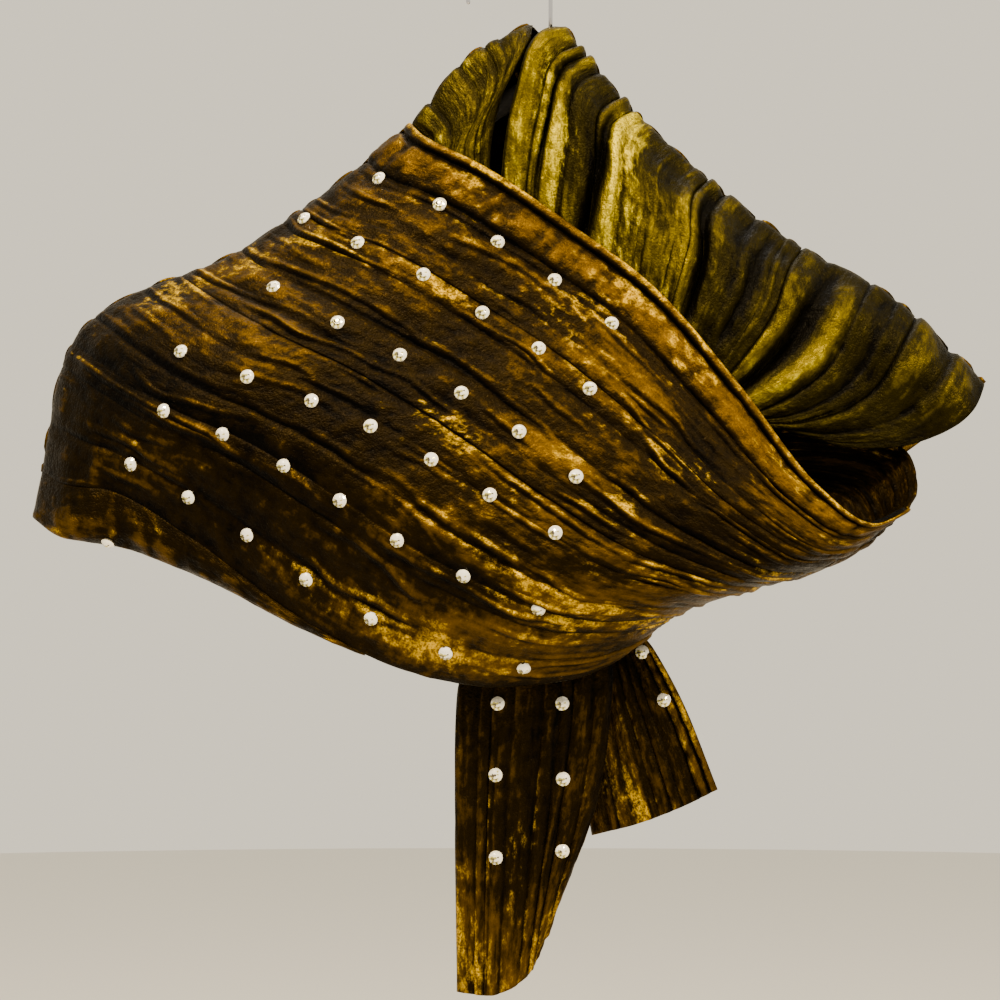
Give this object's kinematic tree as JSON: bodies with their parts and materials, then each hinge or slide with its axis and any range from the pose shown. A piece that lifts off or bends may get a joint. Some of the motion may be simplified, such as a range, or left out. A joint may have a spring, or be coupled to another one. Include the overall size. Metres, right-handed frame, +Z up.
{
  "type": "evening stole on a coat hanger",
  "caption": "Long crinkle-pleated velvet evening stole with clear stones, wrapped round the shoulders of a wire-hook coat hanger, its two narrow ends hanging below.",
  "frame": {"origin": "the inside top of the hanger's hook, where it rests on a rail", "axes": "+Z up, +X to the right of someone who looks at the front of the stole, -Y out of its front"},
  "size_m": [0.5021, 0.1356, 0.5496],
  "materials": {
    "velvet_face": "crushed crinkle-pleated velvet, bronze brown with gold highlights",
    "velvet_reverse": "crinkle-pleated velvet, olive gold",
    "hook_chrome": "polished plated wire",
    "hanger_paint": "dark satin paint"
  },
  "bodies": {
    "root": {"front_panel": "velvet_face", "side_loop": "velvet_face", "rear_tail": "velvet_face", "right_shoulder": "velvet_reverse", "front_tail": "velvet_face", "neck_fold": "velvet_reverse", "back_stretch": "velvet_face", "turned_border": "velvet_face", "hanger_hook": "hook_chrome", "hanger_bar": "hanger_paint"}
  },
  "joints": []
}
